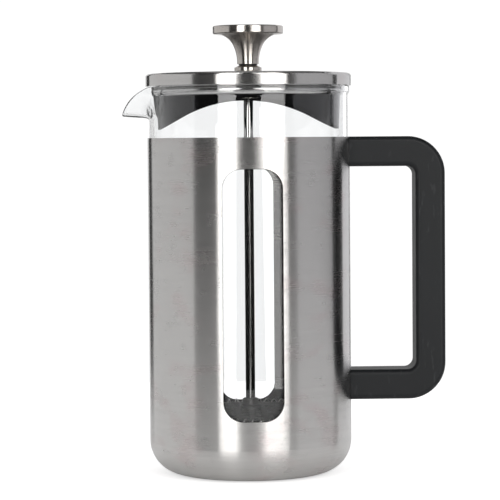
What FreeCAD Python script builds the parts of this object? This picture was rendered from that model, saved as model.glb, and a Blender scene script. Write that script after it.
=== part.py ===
"""Cafetiere with a windowed steel shell, a lift-out glass, a turning lid and a plunger.

Millimetres. The origin is the centre of the flat base, +Z is up, the handle is
towards +X, the pouring beak towards -X, and the shell's two windows face -Y and +Y.
"""
import FreeCAD, Part
import math
import os
import Sketcher

SHEET = "Sizes"

DRIVING_SIZES = {
    # steel shell
    "shell_radius": 52.0,
    "shell_height": 172.5,
    "shell_wall": 0.7,
    "shell_corner": 17.0,
    "window_half_width": 15.0,
    "window_bottom": 31.7,
    "window_top": 156.7,
    "window_corner": 9.7,
    "boss_radius": 6.9,
    "boss_depth": 2.6,
    # handle and its fixings
    "arm_upper_height": 164.9,
    "arm_lower_height": 45.3,
    "arm_thickness": 15.3,
    "handle_reach": 100.2,
    "grip_thickness": 15.2,
    "handle_depth": 22.0,
    "handle_corner": 19.0,
    "finger_corner": 4.5,
    "handle_edge": 2.6,
    "handle_gap": 0.05,
    "screw_radius": 1.95,
    "screw_length": 11.5,
    "screw_head_radius": 3.9,
    "screw_head_height": 1.2,
    "washer_radius": 4.6,
    "washer_thickness": 0.5,
    "insert_radius": 3.2,
    "insert_length": 11.0,
    "fit_gap": 0.05,
    # cushion and glass
    "cushion_radius": 30.0,
    "cushion_thickness": 2.55,
    "glass_radius": 51.0,
    "glass_wall": 2.0,
    "glass_floor": 2.4,
    "glass_bottom": 3.3,
    "glass_corner": 16.0,
    "glass_inner_corner": 14.0,
    "glass_flare": 0.9,
    "flare_start": 193.5,
    "flare_rise": 2.5,
    "rim_top": 198.6,
    "beak_root": 44.0,
    "beak_middle": 58.0,
    "beak_tip": 64.8,
    "beak_floor": 182.9,
    "beak_wall": 1.8,
    "beak_lip_curve": 25.0,
    "beak_root_half": 18.5,
    "beak_middle_half": 10.4,
    "beak_end_half": 6.6,
    "beak_root_round": 6.5,
    "beak_middle_round": 4.9,
    "beak_end_round": 4.2,
    # lid
    "lid_radius": 52.8,
    "lid_bottom": 198.8,
    "lid_top": 205.1,
    "lid_wall": 0.8,
    "lid_corner": 1.5,
    "lid_hole": 4.7,
    "pan_thickness": 0.6,
    "skirt_radius": 47.1,
    "skirt_taper": 0.7,
    "skirt_bottom": 176.7,
    "skirt_flange": 40.0,
    "bead_bottom": 193.8,
    "bead_curve": 2.36,
    "arch_curve": 70.0,
    "arch_end": 33.0,
    "arch_end_height": 183.93,
    "lobe_start": 45.9,
    "slot_half_width": 1.1,
    "slot_bottom": 183.5,
    "slot_top": 192.0,
    "slot_pitch": 5.6,
    # guide in the lid
    "shank_radius": 4.5,
    "shank_bottom": 192.6,
    "ferrule_bore": 3.4,
    "collar_radius": 5.9,
    "collar_top": 206.4,
    "flange_radius": 7.0,
    "flange_bottom": 206.7,
    "flange_top": 208.3,
    "nose_radius": 4.3,
    "nose_top": 209.6,
    "nut_flats": 13.0,
    "nut_height": 4.6,
    # plunger
    "rod_radius": 2.4,
    "stud_radius": 2.0,
    "rod_top": 210.1,
    "stud_top": 221.0,
    "stud_bottom": 24.6,
    "knob_stem": 5.6,
    "knob_flare_start": 211.0,
    "knob_flare": 20.0,
    "knob_blend_radius": 7.64,
    "knob_blend_height": 219.78,
    "knob_lip": 10.0,
    "knob_lip_radius": 16.6,
    "knob_underside": 225.4,
    "knob_radius": 18.1,
    "knob_top": 229.6,
    "knob_edge": 0.7,
    "bumper_radius": 4.8,
    "hub_radius": 4.1,
    "hub_top": 38.2,
    "hub_bottom": 33.2,
    "plate_thickness": 0.5,
    "plate_flat": 12.0,
    "plate_radius": 44.3,
    "plate_drop": 2.2,
    "plate_hole": 1.9,
    "plate_hole_start": 3.0,
    "plate_hole_pitch": 8.2,
    "spring_ring": 46.5,
    "spring_coil": 1.9,
    "spring_skin": 0.16,
    "spring_height": 30.9,
    "screen_thickness": 0.35,
    "screen_radius": 48.2,
    "screen_rim": 28.95,
    "cross_radius": 43.0,
    "cross_thickness": 0.7,
    "cross_inner_ring": 15.5,
    "cross_inner_hole": 3.6,
    "cross_outer_ring": 30.5,
    "cross_outer_hole": 7.2,
    "hub_nut_bottom": 24.2,
    "hub_nut_radius": 6.6,
    "hub_nut_flange": 9.5,
}

document = FreeCAD.newDocument("cafetiere")


class Size:
    """A length: its number, and the sheet expression that gives it."""

    def __init__(self, number, text):
        self.number = number
        self.text = text

    def combined(self, other, sign, number):
        return Size(number, f"({self.text} {sign} {as_size(other).text})")

    def __add__(self, other):
        return self.combined(other, "+", self.number + as_size(other).number)

    def __sub__(self, other):
        return self.combined(other, "-", self.number - as_size(other).number)

    def __mul__(self, other):
        return self.combined(other, "*", self.number * as_size(other).number)

    def __truediv__(self, other):
        return self.combined(other, "/", self.number / as_size(other).number)

    def __neg__(self):
        return Size(-self.number, f"(-{self.text})")


def as_size(value):
    if isinstance(value, Size):
        return value
    return Size(float(value), f"{float(value):.6g}")


class SizeSheet:
    """The spreadsheet of driving sizes, read as sheet.alias."""

    def __init__(self, sizes):
        self.cells = document.addObject("Spreadsheet::Sheet", SHEET)
        for row, (alias, value) in enumerate(sizes.items(), start=1):
            self.cells.set(f"A{row}", alias)
            self.cells.set(f"B{row}", str(value))
            self.cells.setAlias(f"B{row}", alias)
            setattr(self, alias, Size(value, f"{SHEET}.{alias}"))
        document.recompute()


size = SizeSheet(DRIVING_SIZES)


def bind(item, prop, value):
    """Tie a property of a feature to the sheet."""
    item.setExpression(prop, as_size(value).text)


# ---------------------------------------------------------------- sketches


def new_body(label):
    body = document.addObject("PartDesign::Body", label)
    body.Label = label
    return body


def sketch_on(body, name, role, offset=0):
    """A sketch on one of the body's own origin planes, moved along the plane's normal."""
    sketch = body.newObject("Sketcher::SketchObject", f"{body.Name}_{name}")
    plane = next(item for item in body.Origin.OriginFeatures if item.Role == role)
    sketch.AttachmentSupport = [(plane, "")]
    sketch.MapMode = "FlatFace"
    if isinstance(offset, Size):
        bind(sketch, "AttachmentOffset.Base.z", offset)
    return sketch


def pin_coordinate(sketch, place, coordinate, direction):
    """Hold one coordinate of a point at its distance from the sketch's origin."""
    if abs(coordinate.number) < 1e-9:
        axis = -2 if direction == "DistanceX" else -1
        sketch.addConstraint(Sketcher.Constraint("PointOnObject", place[0], place[1], axis))
        return
    if coordinate.number > 0:
        ends = (-1, 1, place[0], place[1])
        length = coordinate
    else:
        ends = (place[0], place[1], -1, 1)
        length = -coordinate
    index = sketch.addConstraint(Sketcher.Constraint(direction, *ends, length.number))
    bind(sketch, f"Constraints[{index}]", length)


def pin_point(sketch, place, x, y):
    pin_coordinate(sketch, place, x, "DistanceX")
    pin_coordinate(sketch, place, y, "DistanceY")


def arc_between(start, end, radius, turn):
    """The short arc from start to end that turns left or right; also its first point's number."""
    chord = end - start
    half = chord.Length / 2
    rise = math.sqrt(max(radius * radius - half * half, 0.0))
    left = FreeCAD.Vector(-chord.y, chord.x, 0).normalize()
    side = 1 if turn == "left" else -1
    centre = (start + end) * 0.5 + left * (rise * side)
    first, last = (start, end) if turn == "left" else (end, start)
    angles = [math.atan2(point.y - centre.y, point.x - centre.x) for point in (first, last)]
    circle = Part.Circle(centre, FreeCAD.Vector(0, 0, 1), radius)
    return Part.ArcOfCircle(circle, angles[0], angles[1]), (1, 2) if turn == "left" else (2, 1)


def outline(sketch, corners):
    """Draw a closed ring. A corner is (x, y), or (x, y, radius, turn) when an arc leads to it."""
    points = [(as_size(corner[0]), as_size(corner[1])) for corner in corners]
    places = [FreeCAD.Vector(x.number, y.number, 0) for x, y in points]
    sides = []
    for index, corner in enumerate(corners):
        start = places[index - 1]
        end = places[index]
        if len(corner) == 2:
            side = sketch.addGeometry(Part.LineSegment(start, end))
            sides.append((side, 1, 2))
        else:
            radius = as_size(corner[2])
            arc, (first, last) = arc_between(start, end, radius.number, corner[3])
            side = sketch.addGeometry(arc)
            sides.append((side, first, last))
    for index, (side, first, last) in enumerate(sides):
        before = sides[index - 1]
        sketch.addConstraint(Sketcher.Constraint("Coincident", before[0], before[2], side, first))
        pin_point(sketch, (side, last), *points[index])
        if len(corners[index]) > 2:
            radius = as_size(corners[index][2])
            held = sketch.addConstraint(Sketcher.Constraint("Radius", side, radius.number))
            bind(sketch, f"Constraints[{held}]", radius)
    return sketch


def circle(sketch, x, y, radius):
    """Add a circle to a sketch."""
    x, y, radius = as_size(x), as_size(y), as_size(radius)
    centre = FreeCAD.Vector(x.number, y.number, 0)
    ring = sketch.addGeometry(Part.Circle(centre, FreeCAD.Vector(0, 0, 1), radius.number))
    pin_point(sketch, (ring, 3), x, y)
    index = sketch.addConstraint(Sketcher.Constraint("Radius", ring, radius.number))
    bind(sketch, f"Constraints[{index}]", radius)
    return sketch


# ---------------------------------------------------------------- features


def turned(body, corners):
    """Spin a half section, drawn as radius and height, about the vertical axis."""
    sketch = outline(sketch_on(body, "section", "XZ_Plane"), corners)
    spin = body.newObject("PartDesign::Revolution", f"{body.Name}_turned")
    spin.Profile = sketch
    spin.ReferenceAxis = (sketch, ["V_Axis"])
    spin.Angle = 360
    document.recompute()
    return spin


def bored(body, corners):
    """Cut a spun half section out of the body."""
    before = solid_volume(body)
    sketch = outline(sketch_on(body, "hollow", "XZ_Plane"), corners)
    groove = body.newObject("PartDesign::Groove", f"{body.Name}_hollow_cut")
    groove.Profile = sketch
    groove.ReferenceAxis = (sketch, ["V_Axis"])
    groove.Angle = 360
    confirm_cut(body, before)
    return groove


def solid_volume(body):
    document.recompute()
    return body.Shape.Volume


def confirm_cut(body, before):
    """Raise an error when a cut has missed the solid."""
    if solid_volume(body) > before - 1e-3:
        raise RuntimeError(f"{body.Label}: a cut removed nothing")


def pad(body, sketch, length):
    """Thicken a sketch equally to both sides of its plane."""
    feature = body.newObject("PartDesign::Pad", f"{sketch.Name}_pad")
    feature.Profile = sketch
    feature.SideType = "Symmetric"
    bind(feature, "Length", length)
    document.recompute()
    return feature


def pocket(body, sketch, length):
    """Cut a sketch equally to both sides of its plane."""
    before = solid_volume(body)
    feature = body.newObject("PartDesign::Pocket", f"{sketch.Name}_cut")
    feature.Profile = sketch
    feature.SideType = "Symmetric"
    bind(feature, "Length", length)
    confirm_cut(body, before)
    return feature


def hole_ring(body, name, ring_radius, hole_radius, count):
    """Punch a ring of round holes through a plate."""
    sketch = circle(sketch_on(body, name, "XY_Plane"), ring_radius, 0, hole_radius)
    first = pocket(body, sketch, size.hub_top * 2)
    before = solid_volume(body)
    pattern = body.newObject("PartDesign::PolarPattern", f"{body.Name}_{name}_pattern")
    pattern.Originals = [first]
    pattern.Axis = (sketch, ["N_Axis"])
    pattern.Angle = 360
    pattern.Occurrences = count
    body.Tip = pattern
    confirm_cut(body, before)


def loft(body, kind, name, sections):
    """Skin a row of sketches, adding to the body or cutting from it."""
    feature = body.newObject(f"PartDesign::{kind}", f"{body.Name}_{name}")
    feature.Profile = sections[0]
    feature.Sections = sections[1:]
    document.recompute()
    return feature


def rounded_edges(body, name, radius, wanted):
    """Fillet those edges of the body that the test picks."""
    base = body.Tip
    edges = [f"Edge{number}" for number, edge in enumerate(base.Shape.Edges, start=1) if wanted(edge)]
    feature = body.newObject("PartDesign::Fillet", f"{body.Name}_{name}")
    feature.Base = (base, edges)
    bind(feature, "Radius", radius)
    document.recompute()
    return feature


def cylinder(name, radius, height, base):
    """A cylinder that stands on a height of the vertical axis."""
    item = document.addObject("Part::Cylinder", name)
    bind(item, "Radius", radius)
    bind(item, "Height", height)
    bind(item, "Placement.Base.z", base)
    return item


def lying_cylinder(name, radius, length, start, height):
    """A cylinder that points along +X from a start, at a height."""
    item = cylinder(name, radius, length, height)
    item.Placement = FreeCAD.Placement(FreeCAD.Vector(), FreeCAD.Rotation(FreeCAD.Vector(0, 1, 0), 90))
    bind(item, "Placement.Base.x", start)
    bind(item, "Placement.Base.z", height)
    return item


def difference(label, base, tool):
    item = document.addObject("Part::Cut", label)
    item.Label = label
    item.Base = base
    item.Tool = tool
    return item


def union(label, base, tool):
    item = document.addObject("Part::Fuse", label)
    item.Label = label
    item.Base = base
    item.Tool = tool
    return item


# ---------------------------------------------------------------- shell and handle


def arm_heights():
    return (("upper", size.arm_upper_height), ("lower", size.arm_lower_height))


def make_outer_shell():
    """Drawn steel cup with two window cut-outs and two outward bosses for the screws."""
    body = new_body("outer_shell")
    radius, wall, corner = size.shell_radius, size.shell_wall, size.shell_corner
    turned(body, [
        (0, 0),
        (radius - corner, 0),
        (radius, corner, corner, "left"),
        (radius, size.shell_height),
        (radius - wall, size.shell_height),
        (radius - wall, corner),
        (radius - corner, wall, corner - wall, "right"),
        (0, wall),
    ])
    half, low, high, bend = (size.window_half_width, size.window_bottom, size.window_top,
                             size.window_corner)
    window = outline(sketch_on(body, "window", "XZ_Plane"), [
        (-half + bend, low, bend, "left"),
        (half - bend, low),
        (half, low + bend, bend, "left"),
        (half, high - bend),
        (half - bend, high, bend, "left"),
        (-half + bend, high),
        (-half, high - bend, bend, "left"),
        (-half, low + bend),
    ])
    pocket(body, window, radius * 3)
    inside = radius - wall
    boss_centre = inside + size.boss_depth / 2
    bosses = sketch_on(body, "bosses", "YZ_Plane", boss_centre)
    hollows = sketch_on(body, "dimples", "YZ_Plane", inside)
    holes = sketch_on(body, "screw_holes", "YZ_Plane", inside)
    for _, height in arm_heights():
        circle(bosses, 0, height, size.boss_radius)
        circle(hollows, 0, height, size.boss_radius - wall)
        circle(holes, 0, height, size.screw_radius + size.fit_gap)
    pad(body, bosses, size.boss_depth)
    pocket(body, hollows, (size.boss_depth - wall) * 2)
    pocket(body, holes, size.boss_depth * 4)
    return body


def make_base_cushion():
    """Soft disc, raised at its edge, that the glass stands on."""
    body = new_body("base_cushion")
    floor = size.shell_wall
    turned(body, [
        (0, floor),
        (size.cushion_radius, floor),
        (size.cushion_radius, floor + size.cushion_thickness),
        (size.cushion_radius - 6, floor + size.cushion_thickness),
        (size.cushion_radius - 8, floor + size.cushion_thickness - 1),
        (0, floor + size.cushion_thickness - 1),
    ])
    return body


def boss_face():
    """Distance from the axis to the outer face of a screw boss."""
    return size.shell_radius - size.shell_wall + size.boss_depth


def make_handle():
    """One moulding: two arms and a straight grip, hollowed to sit over the shell's bosses."""
    body = new_body("handle")
    root = size.shell_radius - 5
    reach = size.handle_reach
    inner = reach - size.grip_thickness
    half_arm = size.arm_thickness / 2
    top = size.arm_upper_height + half_arm
    bottom = size.arm_lower_height - half_arm
    gap_top = size.arm_upper_height - half_arm
    gap_bottom = size.arm_lower_height + half_arm
    bend, finger = size.handle_corner, size.finger_corner
    side = outline(sketch_on(body, "side", "XZ_Plane"), [
        (root, bottom),
        (reach - bend, bottom),
        (reach, bottom + bend, bend, "left"),
        (reach, top - bend),
        (reach - bend, top, bend, "left"),
        (root, top),
        (root, gap_top),
        (inner - finger, gap_top),
        (inner, gap_top - finger, finger, "right"),
        (inner, gap_bottom + finger),
        (inner - finger, gap_bottom, finger, "right"),
        (root, gap_bottom),
    ])
    pad(body, side, size.handle_depth)
    depth = size.handle_depth.number / 2

    def along_side(edge):
        box = edge.BoundBox
        return box.YLength < 1e-6 and abs(abs(box.YMin) - depth) < 1e-6 and box.XMax > root.number + 1

    rounded_edges(body, "soft_edges", size.handle_edge, along_side)
    saddle = circle(sketch_on(body, "saddle", "XY_Plane"), 0, 0, size.shell_radius + size.handle_gap)
    pocket(body, saddle, size.shell_height * 3)
    recess = boss_face() + 0.3
    recesses = sketch_on(body, "boss_recesses", "YZ_Plane", root)
    insert_holes = sketch_on(body, "insert_holes", "YZ_Plane", root)
    for _, height in arm_heights():
        circle(recesses, 0, height, size.boss_radius + 0.3)
        circle(insert_holes, 0, height, size.insert_radius)
    pocket(body, recesses, (recess - root) * 2)
    pocket(body, insert_holes, (recess + size.insert_length + 1 - root) * 2)
    return body


def make_fixings(where, height):
    """Screw and washer inside the shell, and the brass insert that they pull the arm in by."""
    inner_face = boss_face() - size.shell_wall
    washer_face = inner_face - size.washer_thickness
    washer = difference(
        f"handle_washer_{where}",
        lying_cylinder(f"washer_disc_{where}", size.washer_radius, size.washer_thickness,
                       washer_face, height),
        lying_cylinder(f"washer_hole_{where}", size.screw_radius + size.fit_gap,
                       size.washer_thickness, washer_face, height))
    head_face = washer_face - size.screw_head_height
    screw = union(
        f"handle_screw_{where}",
        lying_cylinder(f"screw_head_{where}", size.screw_head_radius, size.screw_head_height,
                       head_face, height),
        lying_cylinder(f"screw_shank_{where}", size.screw_radius, size.screw_length,
                       washer_face, height))
    insert_start = boss_face() + 0.3
    insert = difference(
        f"handle_insert_{where}",
        lying_cylinder(f"insert_barrel_{where}", size.insert_radius, size.insert_length,
                       insert_start, height),
        lying_cylinder(f"insert_bore_{where}", size.screw_radius + size.fit_gap,
                       size.insert_length, insert_start, height))
    return [screw, washer, insert]


# ---------------------------------------------------------------- glass


def beak_section(body, name, place, half_width, floor, bottom_radius, top):
    """A U across the beak, at a distance from the axis on the pouring side."""
    sketch = sketch_on(body, name, "YZ_Plane", -place)
    half_bottom = bottom_radius * 0.96
    shoulder = floor + bottom_radius * 0.72
    return outline(sketch, [
        (-half_width, top),
        (-half_bottom, shoulder),
        (half_bottom, shoulder, bottom_radius, "left"),
        (half_width, top),
    ])


def make_glass_beaker():
    """Blown glass cup with a pulled beak whose lip drops below the rim."""
    body = new_body("glass_beaker")
    radius, wall, foot = size.glass_radius, size.glass_wall, size.glass_bottom
    corner, hollow_corner = size.glass_corner, size.glass_inner_corner
    lip = radius + size.glass_flare
    round_lip = wall / 2
    top = size.rim_top
    turned(body, [
        (0, foot),
        (radius - corner, foot),
        (radius, foot + corner, corner, "left"),
        (radius, size.flare_start),
        (lip, size.flare_start + size.flare_rise),
        (lip, top - round_lip),
        (lip - round_lip, top, round_lip, "left"),
        (0, top),
    ])
    beyond = size.beak_tip + 1
    skin = size.beak_wall
    floor = size.beak_floor
    across = [
        ("root", size.beak_root, size.beak_root_half, size.beak_root_round, floor - 1.5),
        ("middle", size.beak_middle, size.beak_middle_half, size.beak_middle_round, floor - 0.3),
        ("end", beyond, size.beak_end_half, size.beak_end_round, floor),
    ]
    loft(body, "AdditiveLoft", "beak", [
        beak_section(body, f"beak_{name}", place, half, low, bend, top)
        for name, place, half, bend, low in across
    ])
    inside = radius - wall
    inner_floor = foot + size.glass_floor
    bored(body, [
        (0, inner_floor),
        (inside - hollow_corner, inner_floor),
        (inside, inner_floor + hollow_corner, hollow_corner, "left"),
        (inside, size.flare_start),
        (lip - wall, size.flare_start + size.flare_rise),
        (lip - wall, top - round_lip),
        (lip - round_lip, top, round_lip, "right"),
        (lip - round_lip, top + 5),
        (0, top + 5),
    ])
    before = solid_volume(body)
    reach = {"root": -4, "middle": 0, "end": 1}
    loft(body, "SubtractiveLoft", "channel", [
        beak_section(body, f"channel_{name}", place + reach[name], half - skin, low + skin,
                     bend - skin, top + 5)
        for name, place, half, bend, low in across
    ])
    confirm_cut(body, before)
    tip = size.beak_tip
    drop = outline(sketch_on(body, "lip_drop", "XZ_Plane"), [
        (-radius + 0.4, top + 10),
        (-radius + 0.4, top),
        (-tip, floor + 0.8, size.beak_lip_curve, "left"),
        (-tip, floor - 5),
        (-tip - 10, floor - 5),
        (-tip - 10, top + 10),
    ])
    pocket(body, drop, radius * 2)
    return body


# ---------------------------------------------------------------- lid


def make_lid_cover():
    """Spun cap with a flat brushed top and a straight rim."""
    body = new_body("lid_cover")
    radius, wall, bend = size.lid_radius, size.lid_wall, size.lid_corner
    top, bottom, hole = size.lid_top, size.lid_bottom, size.lid_hole
    turned(body, [
        (hole, top - wall),
        (radius - bend, top - wall),
        (radius - wall, top - bend, bend - wall, "right"),
        (radius - wall, bottom),
        (radius, bottom),
        (radius, top - bend),
        (radius - bend, top, bend, "left"),
        (hole, top),
    ])
    return body


def make_lid_pan():
    """Flat disc that closes the cap from below and rests on the glass rim."""
    outer = size.lid_radius - size.lid_wall - size.fit_gap
    disc = cylinder("pan_disc", outer, size.pan_thickness, size.lid_bottom)
    hole = cylinder("pan_hole", size.lid_hole, size.pan_thickness, size.lid_bottom)
    return difference("lid_pan", disc, hole)


def make_lid_skirt():
    """Polished ring under the lid: beaded, tapered, arched front and back, slotted at the beak."""
    body = new_body("lid_skirt")
    radius, wall = size.skirt_radius, size.pan_thickness
    foot = radius - size.skirt_taper
    top = size.lid_bottom
    turned(body, [
        (size.skirt_flange, top - wall),
        (radius - wall, top - wall),
        (foot - wall, size.skirt_bottom),
        (foot, size.skirt_bottom),
        (radius, size.bead_bottom),
        (radius, top - wall, size.bead_curve, "left"),
        (radius, top),
        (size.skirt_flange, top),
    ])
    end, lobe, below = size.arch_end, size.lobe_start, size.skirt_bottom - 6
    arch = outline(sketch_on(body, "arch", "XZ_Plane"), [
        (-lobe, below),
        (-lobe, size.skirt_bottom),
        (-end, size.arch_end_height),
        (end, size.arch_end_height, size.arch_curve, "right"),
        (lobe, size.skirt_bottom),
        (lobe, below),
    ])
    pocket(body, arch, radius * 3)
    slots = sketch_on(body, "slots", "YZ_Plane", -radius)
    for step in range(-2, 3):
        centre = size.slot_pitch * step
        half = size.slot_half_width
        outline(slots, [
            (centre - half, size.slot_bottom),
            (centre + half, size.slot_bottom),
            (centre + half, size.slot_top),
            (centre - half, size.slot_top),
        ])
    pocket(body, slots, as_size(14))
    return body


def make_lid_spacer():
    """Sleeve that keeps the cap and the pan apart when the ferrule's nut is tightened."""
    base = size.lid_bottom + size.pan_thickness
    height = size.lid_top - size.lid_wall - base
    sleeve = cylinder("spacer_sleeve", size.flange_radius, height, base)
    bore = cylinder("spacer_bore", size.lid_hole, height, base)
    return difference("lid_spacer", sleeve, bore)


def make_lid_ferrule():
    """Turned guide through the middle of the lid, with a flange and a tapered nose."""
    body = new_body("lid_ferrule")
    bore = size.ferrule_bore
    seat = size.lid_top + size.fit_gap
    mouth = size.rod_radius + 0.2
    turned(body, [
        (bore, size.shank_bottom),
        (size.shank_radius, size.shank_bottom),
        (size.shank_radius, seat),
        (size.collar_radius, seat),
        (size.collar_radius, size.collar_top),
        (size.collar_radius - 0.5, size.collar_top),
        (size.collar_radius - 0.5, size.flange_bottom),
        (size.flange_radius, size.flange_bottom),
        (size.flange_radius, size.flange_top),
        (size.nose_radius, size.nose_top),
        (mouth, size.nose_top),
        (mouth, size.flange_top),
        (bore, size.flange_top),
    ])
    return body


def make_ferrule_fixings():
    """Washer and nut that hold the ferrule from under the lid."""
    washer_base = size.lid_bottom - size.fit_gap - size.lid_wall
    hole = size.shank_radius + size.fit_gap
    washer = difference(
        "ferrule_washer",
        cylinder("ferrule_washer_disc", size.flange_radius + 1.5, size.lid_wall, washer_base),
        cylinder("ferrule_washer_hole", hole, size.lid_wall, washer_base))
    nut_base = washer_base - size.nut_height
    blank = document.addObject("Part::Prism", "ferrule_nut_blank")
    blank.Polygon = 6
    bind(blank, "Circumradius", size.nut_flats / math.sqrt(3))
    bind(blank, "Height", size.nut_height)
    bind(blank, "Placement.Base.z", nut_base)
    nut = difference("ferrule_nut", blank, cylinder("ferrule_nut_hole", hole, size.nut_height, nut_base))
    return [washer, nut]


def make_rod_bush():
    """Plain plastic bush that lines the ferrule and guides the rod."""
    base = size.shank_bottom + 0.6
    length = size.flange_top - size.fit_gap - base
    sleeve = cylinder("bush_sleeve", size.ferrule_bore - size.fit_gap, length, base)
    bore = cylinder("bush_bore", size.rod_radius + size.fit_gap, length, base)
    return difference("rod_bush", sleeve, bore)


# ---------------------------------------------------------------- plunger


def make_plunger_rod():
    """Straight rod with a reduced stud at each end."""
    body = new_body("plunger_rod")
    turned(body, [
        (0, size.stud_bottom),
        (size.stud_radius, size.stud_bottom),
        (size.stud_radius, size.hub_bottom),
        (size.rod_radius, size.hub_bottom),
        (size.rod_radius, size.rod_top),
        (size.stud_radius, size.rod_top),
        (size.stud_radius, size.stud_top),
        (0, size.stud_top),
    ])
    return body


def make_knob():
    """Turned knob: a waisted stem that flares to a flat disc."""
    body = new_body("knob")
    edge = size.knob_edge
    turned(body, [
        (size.stud_radius, size.rod_top),
        (size.knob_stem, size.rod_top),
        (size.knob_stem, size.knob_flare_start),
        (size.knob_blend_radius, size.knob_blend_height, size.knob_flare, "right"),
        (size.knob_lip_radius, size.knob_underside, size.knob_lip, "right"),
        (size.knob_radius - edge, size.knob_underside),
        (size.knob_radius, size.knob_underside + edge, edge, "left"),
        (size.knob_radius, size.knob_top - edge),
        (size.knob_radius - edge, size.knob_top, edge, "left"),
        (0, size.knob_top),
        (0, size.stud_top + 1),
        (size.stud_radius, size.stud_top + 1),
    ])
    return body


def make_knob_bumper():
    """Thin soft washer that meets the ferrule when the plunger is down."""
    base = size.nose_top + size.fit_gap
    height = size.rod_top - base
    disc = cylinder("bumper_disc", size.bumper_radius, height, base)
    return difference("knob_bumper", disc, cylinder("bumper_hole", size.rod_radius, height, base))


def make_filter_collar():
    """Collar welded round the rod, which the filter plates are pulled up against."""
    body = new_body("filter_collar")
    turned(body, [
        (size.rod_radius, size.hub_bottom),
        (size.hub_radius + 1.4, size.hub_bottom),
        (size.hub_radius + 1.4, size.hub_bottom + 1.2),
        (size.hub_radius, size.hub_bottom + 1.8),
        (size.hub_radius, size.hub_top - 0.6),
        (size.hub_radius - 0.6, size.hub_top),
        (size.rod_radius, size.hub_top),
    ])
    return body


def plate_corners(top, thickness, edge, drop):
    """Half section of a plate that is flat in the middle and falls gently to its edge."""
    hole = size.stud_radius + size.fit_gap
    return [
        (hole, top - thickness),
        (size.plate_flat, top - thickness),
        (edge, top - thickness - drop),
        (edge, top - drop),
        (size.plate_flat, top),
        (hole, top),
    ]


def make_filter_plate():
    """Perforated top plate that carries the spring round its edge."""
    body = new_body("filter_plate")
    turned(body, plate_corners(size.hub_bottom, size.plate_thickness, size.plate_radius,
                               size.plate_drop))
    for ring in range(1, 5):
        distance = size.plate_hole_pitch * ring + size.plate_hole_start
        hole_ring(body, f"holes_{ring}", distance, size.plate_hole, 8 * ring + 2)
    return body


def make_edge_spring():
    """Ring of the coil spring's outer size, thin-skinned to weigh about what the coil weighs."""
    rings = []
    for name, coil in (("spring_outside", size.spring_coil),
                       ("spring_inside", size.spring_coil - size.spring_skin)):
        ring = document.addObject("Part::Torus", name)
        bind(ring, "Radius1", size.spring_ring)
        bind(ring, "Radius2", coil)
        bind(ring, "Placement.Base.z", size.spring_height)
        rings.append(ring)
    return difference("edge_spring", *rings)


def make_mesh_screen():
    """Woven screen pressed under the plate, running out below the spring."""
    body = new_body("mesh_screen")
    top = size.hub_bottom - size.plate_thickness
    thick = size.screen_thickness
    hole = size.stud_radius + size.fit_gap
    inner_edge = size.plate_radius - 0.3
    turned(body, [
        (hole, top - thick),
        (size.plate_flat, top - thick),
        (inner_edge, top - thick - size.plate_drop),
        (size.spring_ring - 1, size.screen_rim - thick),
        (size.screen_radius, size.screen_rim - thick),
        (size.screen_radius, size.screen_rim),
        (size.spring_ring - 1, size.screen_rim),
        (inner_edge, top - size.plate_drop),
        (size.plate_flat, top),
        (hole, top),
    ])
    return body


def make_cross_plate():
    """Stiff lower plate with large openings that backs the screen."""
    body = new_body("cross_plate")
    top = size.hub_bottom - size.plate_thickness - size.screen_thickness
    reach = (size.cross_radius - size.plate_flat) / (size.plate_radius - 0.3 - size.plate_flat)
    turned(body, plate_corners(top, size.cross_thickness, size.cross_radius, size.plate_drop * reach))
    hole_ring(body, "inner_openings", size.cross_inner_ring, size.cross_inner_hole, 8)
    hole_ring(body, "outer_openings", size.cross_outer_ring, size.cross_outer_hole, 8)
    return body


def make_hub_nut():
    """Round nut that clamps the plates from below."""
    body = new_body("hub_nut")
    top = size.hub_bottom - size.plate_thickness - size.screen_thickness - size.cross_thickness
    hole = size.stud_radius + size.fit_gap
    bottom = size.hub_nut_bottom
    turned(body, [
        (hole, bottom + 0.4),
        (hole + 0.4, bottom),
        (size.hub_nut_radius - 0.6, bottom),
        (size.hub_nut_radius, bottom + 0.6),
        (size.hub_nut_radius, top - 1.2),
        (size.hub_nut_flange, top - 1.2),
        (size.hub_nut_flange, top),
        (hole, top),
    ])
    grips = circle(sketch_on(body, "grip", "XY_Plane", bottom), size.hub_nut_radius + 0.9, 0, 1.5)
    first = pocket(body, grips, as_size(9))
    pattern = body.newObject("PartDesign::PolarPattern", "hub_nut_grips")
    pattern.Originals = [first]
    pattern.Axis = (grips, ["N_Axis"])
    pattern.Angle = 360
    pattern.Occurrences = 8
    body.Tip = pattern
    document.recompute()
    return body


# ---------------------------------------------------------------- assembly


def make_all():
    """Every sub-part, from the shell inwards."""
    parts = [make_outer_shell(), make_base_cushion(), make_handle()]
    for where, height in arm_heights():
        parts += make_fixings(where, height)
    parts.append(make_glass_beaker())
    parts += [make_lid_cover(), make_lid_pan(), make_lid_skirt(), make_lid_spacer(), make_lid_ferrule()]
    parts += make_ferrule_fixings()
    parts += [make_rod_bush(), make_plunger_rod(), make_knob(), make_knob_bumper()]
    parts += [make_filter_collar(), make_filter_plate(), make_edge_spring(), make_mesh_screen()]
    parts += [make_cross_plate(), make_hub_nut()]
    return parts


def check_document(parts):
    """Stop before anything is written if an object failed or a sub-part isn't a sound solid."""
    document.recompute()
    for item in document.Objects:
        if {"Invalid", "Error"} & set(item.State):
            raise RuntimeError(f"{item.Name} failed: {item.State}")
    for part in parts:
        if part.Shape.isNull() or not part.Shape.isValid() or not part.Shape.Solids:
            raise RuntimeError(f"{part.Label} has no sound solid")


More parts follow.
